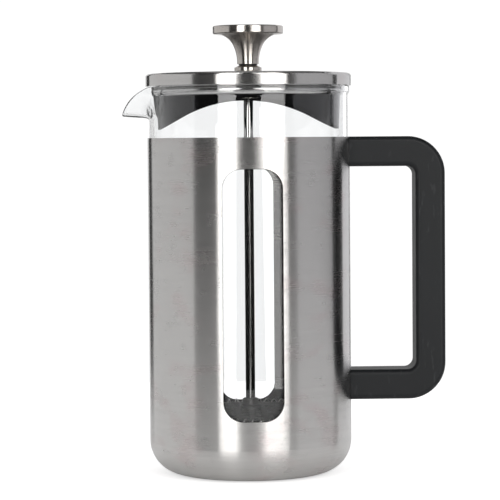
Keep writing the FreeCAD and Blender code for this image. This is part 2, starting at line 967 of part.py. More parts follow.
def write_parts(parts):
    """One STEP file for each sub-part."""
    os.makedirs("parts", exist_ok=True)
    for part in parts:
        part.Shape.exportStep(f"parts/{part.Label}.step")
        box = part.Shape.BoundBox
        print(f"{part.Label:22s} {part.Shape.Volume / 1000:8.3f} cm3  z {box.ZMin:7.2f} to {box.ZMax:7.2f}"
              f"  radius {max(abs(box.XMin), abs(box.XMax)):6.2f}  solids {len(part.Shape.Solids)}")


finished = make_all()
check_document(finished)
write_parts(finished)
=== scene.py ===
import math

import bmesh
import bpy
from bpy.props import FloatProperty, FloatVectorProperty, IntProperty, PointerProperty
from mathutils import Matrix, Quaternion, Vector


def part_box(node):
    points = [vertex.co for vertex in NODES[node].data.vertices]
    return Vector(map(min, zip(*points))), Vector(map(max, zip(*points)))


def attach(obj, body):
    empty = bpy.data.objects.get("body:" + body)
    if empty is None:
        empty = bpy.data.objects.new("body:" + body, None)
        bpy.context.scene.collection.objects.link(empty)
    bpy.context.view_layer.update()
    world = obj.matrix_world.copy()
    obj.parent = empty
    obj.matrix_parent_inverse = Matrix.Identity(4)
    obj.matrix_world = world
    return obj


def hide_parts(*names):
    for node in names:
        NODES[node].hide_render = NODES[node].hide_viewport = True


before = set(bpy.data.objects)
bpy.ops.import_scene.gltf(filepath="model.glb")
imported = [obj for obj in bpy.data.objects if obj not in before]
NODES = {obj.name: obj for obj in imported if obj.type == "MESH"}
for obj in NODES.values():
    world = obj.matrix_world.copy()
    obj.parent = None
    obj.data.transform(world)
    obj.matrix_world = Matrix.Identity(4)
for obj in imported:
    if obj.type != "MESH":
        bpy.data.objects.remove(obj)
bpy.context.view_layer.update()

bl_info = {
    "name": "Windowed cafetiere",
    "version": (1, 0, 0),
    "blender": (4, 5, 0),
    "location": "View3D > Sidebar > Cafetiere",
    "description": "Finishes and fine pieces for a steel cafetiere with a lift-out glass",
    "category": "Object",
}

SLOTS = {name: node.material_slots[0].material.name for name, node in NODES.items()}
MM = 0.001
SPIN_STEPS = 240

BEAKER_LOW, BEAKER_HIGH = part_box("glass_beaker")
SKIRT_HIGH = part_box("lid_skirt")[1]
HANDLE_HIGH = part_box("handle")[1]
SPRING_LOW, SPRING_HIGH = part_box("edge_spring")
SPRING_COIL = (SPRING_HIGH.z - SPRING_LOW.z) / 2
SPRING_MIDDLE = (SPRING_HIGH.z + SPRING_LOW.z) / 2
SPRING_RING = SPRING_HIGH.y - SPRING_COIL

# the shell's inner face and its windows, where its finish paints shade
SHELL_INSIDE = 51.3 * MM
WINDOW_HALF = 15.0 * MM
WINDOW_LOW = 31.7 * MM
WINDOW_HIGH = 156.7 * MM
WINDOW_MIDDLE = (WINDOW_LOW + WINDOW_HIGH) / 2
WINDOW_CORNER = 9.7 * MM
# where the painted shade line along the windows' edges fades, as distances past the cut
EDGE_SHADE_FADE = (0.15 * MM, 0.3 * MM)
# heights over which the painted shade band inside the shell comes in and goes out again
SHADE_BAND_FOOT = (14 * MM, 20 * MM)
SHADE_BAND_TOP = (36 * MM, 52 * MM)
# how far outside the inner face the painted shade band ends
SHADE_BAND_DEPTH = 0.2 * MM

# depths below the rim between which the glass flares
FLARE_START = 4.9 * MM
FLARE_END = 2.8 * MM
# the beak's lip: how far inside the rim's outside it starts, and how softly it leaves the rim
LIP_INSET = 1.3 * MM
LIP_BLEND = 1.2 * MM
# how full the pull is beside the beak's middle, and how much it widens the mouth
PULL_POWER = 0.9
MOUTH_SPREAD = 0.45
# how far the wall still rises before it bends out, in the beak's middle and at its sides
THROAT_RISE = 2.9 * MM
SIDE_RISE = 7.0 * MM
# how much the lip turns up at the tip
LIP_UPTURN = 0.1
# over 1, so that the spread and the lean are full a little before the beak's middle
SPREAD_REACH = 1.3
LEAN_REACH = 1.15

SCREEN_GAUGE = 0.3 * MM
SCREEN_RINGS = (2.2 * MM, 20 * MM, 38 * MM, 42.5 * MM)

SCREW_HEAD_HEIGHT = 1.2 * MM
SCREW_SHANK_RADIUS = 1.95 * MM
SCREW_HEAD_ROUND = 0.55 * MM
RECESS_DEPTH = 1.5 * MM
RECESS_WIDTH = 0.75 * MM
RECESS_LENGTH = 4.2 * MM

# the camera's place, and in radians its tilt down, its roll and its turn about the object
CAMERA_PLACE = Vector((0.0003, -1.2005, 0.1717))
CAMERA_TILT = 0.0476
CAMERA_ROLL = -0.0077
CAMERA_TURN = 0.0336


class BeakerSizes(bpy.types.PropertyGroup):
    """The blown glass and its pulled beak."""

    wall: FloatProperty(
        name="Wall", description="Thickness of the glass", default=2.0 * MM, min=1.0 * MM, unit="LENGTH"
    )
    flare: FloatProperty(
        name="Rim flare",
        description="How far the rim stands out from the wall",
        default=0.9 * MM,
        unit="LENGTH",
    )
    corner: FloatProperty(
        name="Bottom corner",
        description="Outer radius of the bottom corner",
        default=16.0 * MM,
        unit="LENGTH",
    )
    beak_sector: FloatProperty(
        name="Beak sector",
        description="Angle from the beak's middle to where it leaves the round wall",
        default=math.radians(22.5),
        subtype="ANGLE",
    )
    beak_start: FloatProperty(
        name="Beak start",
        description="Depth below the rim where the pull begins",
        default=18.0 * MM,
        unit="LENGTH",
    )
    beak_drop: FloatProperty(
        name="Beak drop",
        description="Depth of the beak's tip below the rim",
        default=14.9 * MM,
        unit="LENGTH",
    )
    beak_curve: FloatProperty(
        name="Beak curve",
        description="Radius of the beak's lip seen from the side",
        default=25.0 * MM,
        unit="LENGTH",
    )


class SpringSizes(bpy.types.PropertyGroup):
    """The coil that presses the screen against the glass."""

    turns: IntProperty(name="Turns", description="Turns of wire round the ring", default=71, min=20)
    wire: FloatProperty(name="Wire", description="Radius of the wire", default=0.36 * MM, unit="LENGTH")


class FinishColours(bpy.types.PropertyGroup):
    """Colours of the pieces."""

    steel: FloatVectorProperty(
        name="Steel",
        description="Brushed shell and lid",
        default=(0.6, 0.59, 0.58),
        subtype="COLOR",
        min=0,
        max=1,
    )
    bright: FloatVectorProperty(
        name="Bright steel",
        description="Rod, pan and bead",
        default=(0.58, 0.575, 0.57),
        subtype="COLOR",
        min=0,
        max=1,
    )
    # a near-black painted shade for the face of the polished steel skirt
    skirt_shade: FloatVectorProperty(
        name="Skirt shade",
        description="Face of the lid's skirt",
        default=(0.016, 0.016, 0.018),
        subtype="COLOR",
        min=0,
        max=1,
    )
    warm: FloatVectorProperty(
        name="Warm steel",
        description="Turned knob and guide",
        default=(0.62, 0.585, 0.55),
        subtype="COLOR",
        min=0,
        max=1,
    )
    plastic: FloatVectorProperty(
        name="Handle",
        description="Moulded handle",
        default=(0.0045, 0.0055, 0.0068),
        subtype="COLOR",
        min=0,
        max=1,
    )


class StudioSettings(bpy.types.PropertyGroup):
    """Lights and camera."""

    strip_power: FloatProperty(
        name="Left strip", description="Power of the left front strip", default=11.0, unit="POWER"
    )
    right_strip_power: FloatProperty(
        name="Right strip", description="Power of the right front strip", default=13.2, unit="POWER"
    )
    left_power: FloatProperty(
        name="Left panel", description="Power of the left panel", default=6.8, unit="POWER"
    )
    right_power: FloatProperty(
        name="Right panel", description="Power of the right panel", default=3.2, unit="POWER"
    )
    far_right_power: FloatProperty(
        name="Far right panel",
        description="Power of the panel behind on the right",
        default=3.776,
        unit="POWER",
    )
    back_power: FloatProperty(
        name="Back panel", description="Power of the panel behind", default=4.0, unit="POWER"
    )
    top_power: FloatProperty(
        name="Top panel", description="Power of the panel overhead", default=2.6, unit="POWER"
    )
    room: FloatProperty(name="Room", description="Brightness of the room in reflections", default=0.05)
    floor_glow: FloatProperty(
        name="Floor", description="Brightness of the floor in reflections", default=0.36
    )
    focal_length: FloatProperty(
        name="Focal length", description="Camera focal length in millimetres", default=167.88, min=1
    )


class Term:
    """A number in a shader. Sums on it add the Math nodes that work it out."""

    def __init__(self, wiring, socket):
        self.wiring = wiring
        self.socket = socket

    def math(self, operation, first, second=0.0, clamp=False):
        """A Math node on two numbers."""
        settings = {"operation": operation, "use_clamp": clamp}
        return self.wiring.node("Math", settings, {0: first, 1: second})

    def __add__(self, other):
        return self.math("ADD", self, other)

    __radd__ = __add__

    def __mul__(self, other):
        return self.math("MULTIPLY", self, other)

    def __sub__(self, other):
        return self.math("SUBTRACT", self, other)

    def __rsub__(self, other):
        return self.math("SUBTRACT", other, self)

    def __truediv__(self, other):
        return self.math("DIVIDE", self, other)

    def __abs__(self):
        return self.math("ABSOLUTE", self)

    def held(self):
        """The number kept between 0 and 1."""
        return self.math("ADD", self, 0.0, clamp=True)

    def step(self, start, end):
        """0 below start, 1 above end, with a smooth rise between."""
        settings = {"interpolation_type": "SMOOTHSTEP"}
        return self.wiring.node("MapRange", settings, {"Value": self, "From Min": start, "From Max": end})


class Wiring:
    """Adds nodes to the tree of a material or of the world."""

    def __init__(self, tree):
        self.tree = tree

    def node(self, kind, settings=None, values=None, output=0):
        """Adds a node, sets it up, feeds its sockets and gives one of its outputs."""
        node = self.tree.nodes.new("ShaderNode" + kind)
        for name, value in (settings or {}).items():
            setattr(node, name, value)
        for name, value in (values or {}).items():
            self.feed(node.inputs[name], value)
        return Term(self, node.outputs[output])

    def feed(self, socket, value):
        """Links a Term to a socket, or sets a plain value on it."""
        if isinstance(value, Term):
            self.tree.links.new(value.socket, socket)
        elif hasattr(socket.default_value, "__len__") and len(socket.default_value) == 4 and len(value) == 3:
            socket.default_value = (*value, 1.0)
        else:
            socket.default_value = value

    def to_the_eye(self, one_wall=1.0):
        """1 for what the camera sees directly or through clear glass, 0 for reflections and lit surfaces.

        A ray turned back inside one glass wall counts by one_wall."""
        path = {name: self.node("LightPath", output=name) for name in (
            "Is Camera Ray", "Is Transmission Ray", "Glossy Depth", "Transmission Depth")}
        unmirrored = self.node("Math", {"operation": "LESS_THAN"}, {0: path["Glossy Depth"], 1: 0.5})
        walls = self.node("Math", {"operation": "LESS_THAN"}, {0: path["Transmission Depth"], 1: 2.5})
        clear = self.node("Math", {"operation": "MAXIMUM"}, {0: unmirrored, 1: walls * one_wall})
        through = clear * path["Is Transmission Ray"]
        return self.node("Math", {"operation": "MAXIMUM"}, {0: path["Is Camera Ray"], 1: through})


class Finish(Wiring):
    """A material: constants go on its shader's sockets, and the rest is wired with nodes."""

    def __init__(self, name, **constants):
        self.material = bpy.data.materials.new(name)
        self.material.use_nodes = True
        super().__init__(self.material.node_tree)
        self.shader = self.tree.nodes["Principled BSDF"]
        for socket, value in constants.items():
            self.shader.inputs[socket.replace("_", " ")].default_value = value
        self.place = self.node("TexCoord", output="Object")

    def wire(self, **sockets):
        """Feeds the shader's own sockets."""
        for name, value in sockets.items():
            self.feed(self.shader.inputs[name.replace("_", " ")], value)

    def vector(self, operation, first, second=(0, 0, 0), output=0):
        """A Vector Math node on two vectors."""
        return self.node("VectorMath", {"operation": operation}, {0: first, 1: second}, output)

    def axis(self, name, vector=None):
        """One axis of a place, the piece's own by default."""
        return self.node("SeparateXYZ", None, {0: vector or self.place}, name)

    def blend(self, factor, first, second):
        """A colour between two, by a Term."""
        return self.node("Mix", {"data_type": "RGBA"}, {0: factor, 6: first, 7: second}, 2)

    def cloud(self, size, detail=2.0, stretch=(1, 1, 1)):
        """Soft patches of about that size in metres, from 0 to 1."""
        scaled = self.vector("MULTIPLY", self.place, [1 / (size * s) for s in stretch])
        return self.node("TexNoise", None, {"Vector": scaled, "Scale": 1.0, "Detail": detail})

    def rings(self, pitch, slant=1.0, wander=2.0, detail=2.0):
        """Fine lines round the Z axis, as a spinning piece takes from a brush or a tool."""
        flat = self.vector("MULTIPLY", self.place, (1, 1, 0))
        heading = self.vector("NORMALIZE", flat)
        across = self.vector("LENGTH", flat, output="Value")
        along = (across + self.axis("Z") * slant) / pitch
        values = {"X": self.axis("X", heading) * wander, "Y": self.axis("Y", heading) * wander, "Z": along}
        line = self.node("CombineXYZ", None, values)
        return self.node("TexNoise", None, {"Vector": line, "Scale": 1.0, "Detail": detail})

    def bump(self, height, depth):
        """A surface that rises by depth, in metres, where height is 1."""
        return self.node("Bump", None, {"Strength": 1.0, "Distance": depth, "Height": height})


def shade(tint, factor):
    """A tint made darker, or lighter where the factor is over 1."""
    return tuple(part * factor for part in tint)


def painted_window_edge_shade(steel):
    """1 on the cut edge of the shell's windows, where a painted shade line goes, 0 elsewhere."""
    side = abs(steel.axis("X")) - (WINDOW_HALF - WINDOW_CORNER)
    end = abs(steel.axis("Z") - WINDOW_MIDDLE) - (WINDOW_HIGH - WINDOW_MIDDLE - WINDOW_CORNER)
    out = steel.node("CombineXYZ", None, {"X": side, "Y": 0.0, "Z": end})
    gap = steel.vector("LENGTH", steel.vector("MAXIMUM", out), output="Value")
    return 1 - gap.step(*(WINDOW_CORNER + fade for fade in EDGE_SHADE_FADE))


def painted_inner_shade(steel):
    """1 low down on the inner face of the shell, where its finish paints shade, 0 elsewhere."""
    across = steel.vector("LENGTH", steel.vector("MULTIPLY", steel.place, (1, 1, 0)), output="Value")
    height = steel.axis("Z")
    band = height.step(*SHADE_BAND_FOOT) * (1 - height.step(*SHADE_BAND_TOP))
    return (1 - across.step(SHELL_INSIDE, SHELL_INSIDE + SHADE_BAND_DEPTH)) * band


def spun_steel(
    name, tint, roughness, pitch, slant=1.0, smudge=0.5, streak=0.25, depth=4e-6, shell=False, **constants
):
    """Steel brushed or turned round the Z axis, with fine lines, handling smudges and grey patches. On the
    shell it also paints shade along the windows' edges and low on the inner face.
    """
    steel = Finish(name, Metallic=1.0, **constants)
    fine = steel.rings(pitch, slant)
    coarse = steel.rings(pitch * 6, slant, wander=1.2, detail=1.0)
    smear = steel.cloud(22 * MM, 3.0, (1.0, 1.0, 0.7)).step(0.5, 0.72)
    faint = steel.cloud(9 * MM, 4.0).step(0.52, 0.75)
    pinkish = (tint[0] * 0.97, tint[1] * 0.88, tint[2] * 0.89)
    colour = steel.blend(smear * smudge, tint, pinkish)
    colour = steel.blend(faint * (smudge * 0.5), colour, shade(tint, 0.86))
    colour = steel.blend(coarse.step(0.35, 0.75) * streak, colour, shade(tint, 0.55))
    if shell:
        # painted shade: a near-black line along the windows' cut edge, for the dark reflection a rolled edge
        # shows
        colour = steel.blend(painted_window_edge_shade(steel), colour, shade(tint, 0.12))
        # painted shade: a dark band low on the shell's inner face
        colour = steel.blend(painted_inner_shade(steel) * 0.85, colour, shade(tint, 0.3))
    rough = roughness + (fine - 0.5) * 0.08 + (coarse - 0.5) * 0.05
    rough = rough + smear * (0.03 * smudge) + faint * (0.04 * smudge)
    steel.wire(Base_Color=colour, Roughness=rough.held(), Normal=steel.bump(fine + coarse * 0.5, depth))
    return steel.material


def polished_steel(name, tint, skirt_shade=None, roughness=0.085, **constants):
    """Bright steel, wiped, with faint marks. A near-black painted shade goes on the skirt's face, below the
    bead.
    """
    steel = Finish(name, Metallic=1.0, **constants)
    wipe = steel.cloud(14 * MM, 3.0, (1, 1, 0.5))
    hair = steel.rings(0.25 * MM, 1.0, 3.0)
    colour = steel.blend(wipe.step(0.45, 0.8) * 0.25, tint, shade(tint, 0.82))
    if skirt_shade:
        # painted shade: the skirt's face below the bead is coloured near black, with lighter wipes
        bead = SKIRT_HIGH.z - 5.0 * MM
        face = 1 - steel.axis("Z").step(bead, bead + 0.15 * MM)
        dark = steel.blend(wipe.step(0.4, 0.8) * 0.3, skirt_shade, shade(skirt_shade, 1.35))
        colour = steel.blend(face, colour, dark)
    rough = roughness + wipe * 0.05 + (hair - 0.5) * 0.05
    steel.wire(Base_Color=colour, Roughness=rough.held(), Normal=steel.bump(hair, 1.2e-6))
    return steel.material


def plain_steel(name, tint, roughness):
    """Pressed or rolled steel with a rolled grain and dull patches."""
    steel = Finish(name, Metallic=1.0)
    patch = steel.cloud(6 * MM, 4.0)
    grain = steel.cloud(0.5 * MM, 2.0, (6, 1, 1))
    colour = steel.blend(patch.step(0.45, 0.75) * 0.5, tint, shade(tint, 0.7))
    rough = roughness + (patch - 0.5) * 0.2 + (grain - 0.5) * 0.1
    steel.wire(Base_Color=colour, Roughness=rough.held(), Normal=steel.bump(grain + patch, 4e-6))
    return steel.material


def woven_steel(name):
    """Plain weave of fine wire: wires over and under, with open squares between."""
    pitch = 0.6 * MM
    weave = Finish(name, Metallic=1.0)
    x = weave.axis("X") / pitch
    y = weave.axis("Y") / pitch
    waves = {}
    for label, value in (("x", x), ("y", y)):
        turned = weave.node("Math", {"operation": "SINE"}, {0: value * math.tau})
        half = weave.node("Math", {"operation": "SINE"}, {0: value * math.pi})
        waves[label] = (turned * 0.5 + 0.5, half)
    warp = waves["x"][0].step(0.35, 0.8)
    weft = waves["y"][0].step(0.35, 0.8)
    cover = weave.node("Math", {"operation": "MAXIMUM"}, {0: warp, 1: weft})
    over = waves["x"][1] * waves["y"][1]
    tarnish = weave.cloud(8 * MM, 3.0).step(0.4, 0.7)
    colour = weave.blend(tarnish * 0.5, (0.46, 0.45, 0.44), (0.3, 0.28, 0.26))
    alpha = (0.35 + cover * 0.9).held()
    weave.wire(
        Base_Color=colour,
        Roughness=(0.3 + tarnish * 0.15).held(),
        Alpha=alpha,
        Normal=weave.bump(cover + over * 0.3, 60e-6),
    )
    return weave.material


def clear_glass(name):
    """Blown glass: clear, with a faint wave in the wall and a few dried water marks."""
    glass = Finish(name, Base_Color=(0.985, 0.99, 0.992, 1), Transmission_Weight=1.0, IOR=1.47)
    mark = glass.cloud(5 * MM, 3.0).step(0.66, 0.8)
    wave = glass.cloud(30 * MM, 1.0, (1, 1, 1.6))
    glass.wire(Roughness=(mark * 0.03).held(), Normal=glass.bump(wave, 30e-6))
    return glass.material


def moulded_plastic(name, tint, roughness, grain_depth, edge=None, worn=None):
    """Moulded plastic or rubber, with a fine grain and an uneven sheen.

    With an edge, it is the handle's: a parting line down its middle, and wear along its edges."""
    plastic = Finish(name, Specular_IOR_Level=0.3)
    grain = plastic.cloud(0.35 * MM, 2.0)
    sheen = plastic.cloud(18 * MM, 3.0)
    scuff = plastic.cloud(2.4 * MM, 4.0, (1, 1, 4)).step(0.6, 0.72)
    colour = plastic.blend(sheen.step(0.35, 0.75) * 0.5, tint, shade(tint, 1.35))
    rough = roughness + (sheen - 0.5) * 0.12 + (grain - 0.5) * 0.06
    height = grain
    if edge:
        aside = abs(plastic.axis("Y"))
        height = grain + aside.step(0.05 * MM, 0.22 * MM) * 6.0
        rub = aside.step(edge - 2.6 * MM, edge - 0.4 * MM) * scuff
        colour = plastic.blend(rub * 0.5, colour, worn)
        rough = rough - rub * 0.1
    plastic.wire(Base_Color=colour, Roughness=rough.held(), Normal=plastic.bump(height, grain_depth))
    return plastic.material


def brass(name):
    """Drawn brass with a little tarnish."""
    metal = Finish(name, Metallic=1.0)
    tarnish = metal.cloud(3 * MM, 3.0).step(0.4, 0.7)
    colour = metal.blend(tarnish, (0.72, 0.5, 0.2), (0.5, 0.33, 0.14))
    metal.wire(Base_Color=colour, Roughness=(0.25 + tarnish * 0.2).held())
    return metal.material


def leave_edit():
    """Back to object mode with nothing selected."""
    if bpy.context.object and bpy.context.object.mode != "OBJECT":
        bpy.ops.object.mode_set(mode="OBJECT")
    bpy.ops.object.select_all(action="DESELECT")


def lathe(name, profile, steps=SPIN_STEPS):
    """Draws a profile of (radius, height) points and spins it round the Z axis."""
    leave_edit()
    bpy.ops.mesh.primitive_plane_add(size=MM, location=(0, 0, 0))
    piece = bpy.context.object
    piece.name = name
    bpy.ops.object.mode_set(mode="EDIT")
    bpy.ops.mesh.merge(type="CENTER")
    bpy.ops.transform.translate(value=(profile[0][0], 0, profile[0][1]))
    for (radius, height), (next_radius, next_height) in zip(profile, profile[1:]):
        step = (next_radius - radius, 0, next_height - height)
        bpy.ops.mesh.extrude_vertices_move(TRANSFORM_OT_translate={"value": step})
    bpy.ops.mesh.select_all(action="SELECT")
    bpy.ops.mesh.spin(steps=steps, angle=math.tau, center=(0, 0, 0), axis=(0, 0, 1))
    bpy.ops.mesh.select_all(action="SELECT")
    bpy.ops.mesh.remove_doubles(threshold=1e-6)
    bpy.ops.mesh.normals_make_consistent(inside=False)
    bpy.ops.object.mode_set(mode="OBJECT")
    return piece


def pick(piece, kind, test):
    """Selects, of the edges or faces being edited, those that pass a test."""
    shape = bmesh.from_edit_mesh(piece.data)
    for part in (*shape.verts, *shape.edges, *shape.faces):
        part.select = False
    for part in getattr(shape, kind):
        part.select = bool(test(part))
    shape.select_flush_mode()
    bmesh.update_edit_mesh(piece.data)


def arc(centre, radius, start, end, points):
    """Points of an arc in a profile, angles in degrees from the outward direction."""
    turns = [math.radians(start + (end - start) * n / points) for n in range(points + 1)]
    return [(centre[0] + radius * math.cos(turn), centre[1] + radius * math.sin(turn)) for turn in turns]


def add_modifier(piece, kind, **settings):
    """Puts a modifier on a piece and applies it."""
    bpy.context.view_layer.objects.active = piece
    modifier = piece.modifiers.new(kind.lower(), kind)
    for name, value in settings.items():
        setattr(modifier, name, value)
    bpy.ops.object.modifier_apply(modifier=modifier.name)


def finished(piece, slot, body, *nodes, crease=35.0):
    """Smooths a piece, gives it its finish and its body, and stands it in for its CAD nodes."""
    leave_edit()
    piece.select_set(True)
    bpy.context.view_layer.objects.active = piece
    bpy.ops.object.shade_smooth_by_angle(angle=math.radians(crease))
    piece.data.materials.clear()
    piece.data.materials.append(bpy.data.materials[slot + "_finish"])
    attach(piece, body)
    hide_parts(*nodes)


def ease(value):
    """Smooth rise from 0 to 1."""
    value = min(max(value, 0.0), 1.0)
    return value * value * (3 - 2 * value)


def lip_height(x, sizes):
    """Height of the beak's lip at a place along X, on an arc from the rim down to the tip."""
    rim = BEAKER_HIGH.z
    first = Vector((LIP_INSET - BEAKER_HIGH.y, rim))
    last = Vector((BEAKER_LOW.x, rim - sizes.beak_drop))
    chord = last - first
    rise = math.sqrt(sizes.beak_curve ** 2 - (chord.length / 2) ** 2)
    centre = (first + last) / 2 + Vector((-chord.y, chord.x)).normalized() * rise
    across = min(abs(x - centre.x), sizes.beak_curve * 0.999)
    lip = centre.y + math.sqrt(sizes.beak_curve ** 2 - across ** 2) if x < centre.x else rim
    gap = max(LIP_BLEND - abs(lip - rim), 0.0) / LIP_BLEND
    return min(lip, rim) - gap * gap * LIP_BLEND / 4


def beak_point(place, radius, sizes):
    """Where a point of the round wall goes when the beak is pulled."""
    turn = math.atan2(place.y, -place.x)
    rim = BEAKER_HIGH.z
    start = rim - sizes.beak_start
    if abs(turn) >= sizes.beak_sector or place.z <= start:
        return place
    near = 1 - abs(turn) / sizes.beak_sector
    out = (-BEAKER_LOW.x - radius) * ease(near ** PULL_POWER)
    wide = 1 + MOUTH_SPREAD * ease(near * SPREAD_REACH)
    end_x = -(radius * math.cos(turn) + out)
    end = Vector((end_x, radius * math.sin(turn) * wide, lip_height(end_x, sizes)))
    lean = ease(near * LEAN_REACH)
    root = Vector((-radius * math.cos(turn), radius * math.sin(turn), 0))
    low = root + Vector((0, 0, start))
    bend = root + Vector((0, 0, start + (THROAT_RISE * lean + SIDE_RISE * (1 - lean))))
    outward = Vector((-math.cos(turn), math.sin(turn), LIP_UPTURN)).normalized()
    heading = (Vector((0, 0, 1)) * (1 - lean) + outward * lean).normalized()
    # the wall arrives at the lip along the heading
    pull = end - heading * (end - bend).length * (0.6 + 0.3 * lean)
    part = (place.z - start) / (rim - start)
    rest = 1 - part
    return rest ** 3 * low + 3 * rest ** 2 * part * bend + 3 * rest * part ** 2 * pull + part ** 3 * end


class CAFETIERE_OT_finishes(bpy.types.Operator):
    """Makes every finish and puts it on the carried-over CAD pieces."""

    bl_idname = "cafetiere.finishes"
    bl_label = "Finishes"

    def execute(self, context):
        tints = context.scene.cafetiere_colours
        steel = tuple(tints.steel)
        bright = tuple(tints.bright)
        warm = tuple(tints.warm)
        plastic = tuple(tints.plastic)
        brushed = {"Anisotropic": 1.0, "Anisotropic_Rotation": 0.25}
        finishes = {
            "shell_steel": spun_steel(
                "shell_steel_finish", steel, roughness=0.25, pitch=0.35 * MM, smudge=0.7, streak=0.06,
                depth=1.8e-6, shell=True, **brushed,
            ),
            "lid_steel": spun_steel(
                "lid_steel_finish", steel, roughness=0.2, pitch=0.3 * MM, slant=-1.0, smudge=0.4,
                streak=0.08, depth=2e-6, **brushed,
            ),
            "turned_steel": spun_steel(
                "turned_steel_finish", warm, roughness=0.22, pitch=0.2 * MM, slant=-1.0, smudge=0.2,
                streak=0.08, depth=1.5e-6, **brushed,
            ),
            "polished_steel": polished_steel("polished_steel_finish", bright),
            "fixing_steel": plain_steel("fixing_steel_finish", (0.56, 0.56, 0.56), roughness=0.26),
            # painted shade: the filter's steel is coloured much darker than the other steel, so the plate
            # inside the glass reads darker
            "filter_steel": plain_steel("filter_steel_finish", (0.28, 0.277, 0.274), roughness=0.4),
            # painted highlight: the spring wire is coloured lighter than the other steel, so its turns catch
            # brighter highlights
            "spring_wire": plain_steel("spring_wire_finish", (0.86, 0.85, 0.84), roughness=0.3),
            "woven_mesh": woven_steel("woven_mesh_finish"),
            "glass": clear_glass("glass_finish"),
            "handle_plastic": moulded_plastic(
                "handle_plastic_finish", plastic, roughness=0.46, grain_depth=9e-6, edge=HANDLE_HIGH.y,
                worn=(0.03, 0.032, 0.034),
            ),
            "bush_plastic": moulded_plastic(
                "bush_plastic_finish", (0.72, 0.71, 0.67), roughness=0.4, grain_depth=4e-6
            ),
            "silicone": moulded_plastic(
                "silicone_finish", (0.018, 0.018, 0.019), roughness=0.55, grain_depth=6e-6
            ),
            "insert_brass": brass("insert_brass_finish"),
        }
        skirt = polished_steel(
            "skirt_steel_finish", bright, skirt_shade=tuple(tints.skirt_shade), roughness=0.15, **brushed
        )
        for name, node in NODES.items():
            finish = skirt if name == "lid_skirt" else finishes[SLOTS[name]]
            for slot in node.material_slots:
                slot.material = finish
        return {"FINISHED"}


class CAFETIERE_OT_beaker(bpy.types.Operator):
    """Blows the glass: a round wall spun from its profile, a pulled beak, a thickness and a melted rim."""

    bl_idname = "cafetiere.beaker"
    bl_label = "Glass beaker"

    def execute(self, context):
        sizes = context.scene.cafetiere_beaker
        radius = BEAKER_HIGH.y - sizes.flare
        low, high = BEAKER_LOW.z, BEAKER_HIGH.z
        beak_start = high - sizes.beak_start
        floor_edge = radius - sizes.corner
        profile = [(0, low), (floor_edge - 12 * MM, low)]
        profile += arc((floor_edge, low + sizes.corner), sizes.corner, -90, 0, 16)
        profile += [(radius, low + (beak_start - low) * part) for part in (0.3, 0.6, 0.9, 1.0)]
        flare_start = high - FLARE_START
        flare_end = high - FLARE_END
        # close rows from the beak's start to the rim, for the pull to bend
        rows = 30
        for row in range(1, rows + 1):
            height = beak_start + (high - beak_start) * row / rows
            lift = ease((height - flare_start) / (flare_end - flare_start))
            profile.append((radius + sizes.flare * lift, height))
        piece = lathe("beaker_glass", profile)
        for point in piece.data.vertices:
            flat = math.hypot(point.co.x, point.co.y)
            point.co = beak_point(point.co.copy(), flat, sizes)
        add_modifier(piece, "SOLIDIFY", thickness=sizes.wall, offset=-1.0, use_even_offset=True)
        add_modifier(
            piece, "BEVEL", width=0.75 * MM, segments=4, limit_method="ANGLE", angle_limit=math.radians(60)
        )
        finished(piece, "glass", "beaker", "glass_beaker")
        return {"FINISHED"}


class CAFETIERE_OT_edge_spring(bpy.types.Operator):
    """Winds the spring straight, and closes it into a ring."""

    bl_idname = "cafetiere.edge_spring"
    bl_label = "Edge spring"

    def execute(self, context):
        sizes = context.scene.cafetiere_spring
        turn_steps = 12
        leave_edit()
        bpy.ops.mesh.primitive_circle_add(
            vertices=7, radius=sizes.wire, location=(0, SPRING_COIL - sizes.wire, 0)
        )
        piece = bpy.context.object
        piece.name = "edge_spring_coil"
        bpy.ops.object.transform_apply(location=True, rotation=False, scale=False)
        add_modifier(
            piece, "SCREW", axis="X", screw_offset=math.tau * SPRING_RING / sizes.turns,
            iterations=sizes.turns, steps=turn_steps, render_steps=turn_steps,
        )
        for point in piece.data.vertices:
            turn = point.co.x / SPRING_RING
            reach = SPRING_RING + point.co.y
            point.co = (reach * math.cos(turn), reach * math.sin(turn), SPRING_MIDDLE + point.co.z)
        bpy.ops.object.mode_set(mode="EDIT")
        bpy.ops.mesh.select_all(action="SELECT")
        bpy.ops.mesh.remove_doubles(threshold=1e-5)
        bpy.ops.mesh.normals_make_consistent(inside=False)
        finished(piece, "spring_wire", "plunger", "edge_spring", crease=80.0)
        return {"FINISHED"}


class CAFETIERE_OT_screen(bpy.types.Operator):
    """Cuts the woven screen as a disc and dishes its edge, so that it cradles the spring."""

    bl_idname = "cafetiere.screen"
    bl_label = "Woven screen"

    def execute(self, context):
        low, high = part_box("mesh_screen")
        base = low.z + SCREEN_GAUGE
        profile = [(radius, base) for radius in SCREEN_RINGS]
        profile += arc((SPRING_RING, SPRING_MIDDLE), SPRING_MIDDLE - base, -90, 0, 9)
        profile = [(min(radius, high.y), height) for radius, height in profile]
        piece = lathe("screen_woven", profile, steps=180)
        add_modifier(piece, "SOLIDIFY", thickness=SCREEN_GAUGE, offset=0.0)
        finished(piece, "woven_mesh", "plunger", "mesh_screen")
        return {"FINISHED"}


